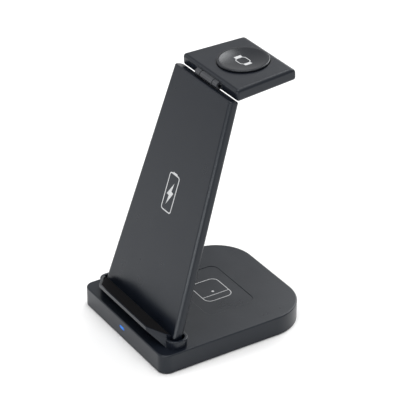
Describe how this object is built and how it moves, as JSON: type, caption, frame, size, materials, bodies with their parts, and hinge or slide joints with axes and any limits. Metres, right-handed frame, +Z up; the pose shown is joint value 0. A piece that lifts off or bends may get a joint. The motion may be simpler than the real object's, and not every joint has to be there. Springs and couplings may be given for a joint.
{
  "type": "three in one wireless charger",
  "caption": "Wireless charging stand: weighted base with an earbud-case rest, leaning phone panel with a ledge at its foot, and a hinged watch platform with a dished puck.",
  "frame": {"origin": "under the middle of the base, on the surface that the feet stand on", "axes": "+X to the right of someone facing the phone panel, +Y to the rear, +Z up"},
  "size_m": [0.0928, 0.1042, 0.1613],
  "materials": {
    "charcoal_plastic": "satin charcoal, fine moulded texture",
    "puck_plastic": "smooth satin, near black",
    "rubber": "matt black",
    "indicator_plastic": "clear blue light pipe",
    "black_metal": "black coated steel",
    "steel": "bright",
    "circuit_board": "green solder mask",
    "copper": "enamelled copper wire",
    "ferrite": "matt dark grey",
    "magnet_plating": "nickel plated"
  },
  "bodies": {
    "stand": {"base_top_shell": "charcoal_plastic", "base_bottom_cover": "charcoal_plastic", "foot_collar": "charcoal_plastic", "panel_front_shell": "charcoal_plastic", "panel_rear_cover": "charcoal_plastic", "base_feet": "rubber", "ledge_pad": "rubber", "indicator_lens": "indicator_plastic", "panel_hinge_bracket": "black_metal", "hinge_pin": "steel", "hinge_washers": "steel", "base_screws": "steel", "panel_foot_screws": "steel", "panel_bracket_screws": "steel", "ballast_plate": "steel", "power_inlet": "steel", "main_circuit_board": "circuit_board", "indicator_board": "circuit_board", "earbud_coil": "copper", "phone_coil_lower": "copper", "phone_coil_upper": "copper", "earbud_ferrite": "ferrite", "phone_ferrite": "ferrite"},
    "watch_platform": {"platform_hinge_bracket": "black_metal", "platform_bracket_screws": "steel", "platform_top_shell": "charcoal_plastic", "platform_bottom_cover": "charcoal_plastic", "platform_screws": "steel", "watch_puck": "puck_plastic", "watch_coil": "copper", "watch_magnet": "magnet_plating", "watch_ferrite": "ferrite", "watch_circuit_board": "circuit_board"}
  },
  "joints": [
    {"name": "platform_tilt", "type": "hinge", "parent": "stand", "child": "watch_platform", "pos_m": [0, 0.00771, 0.15415], "axis": [1, 0, 0], "range_deg": [0, 69.5]}
  ]
}
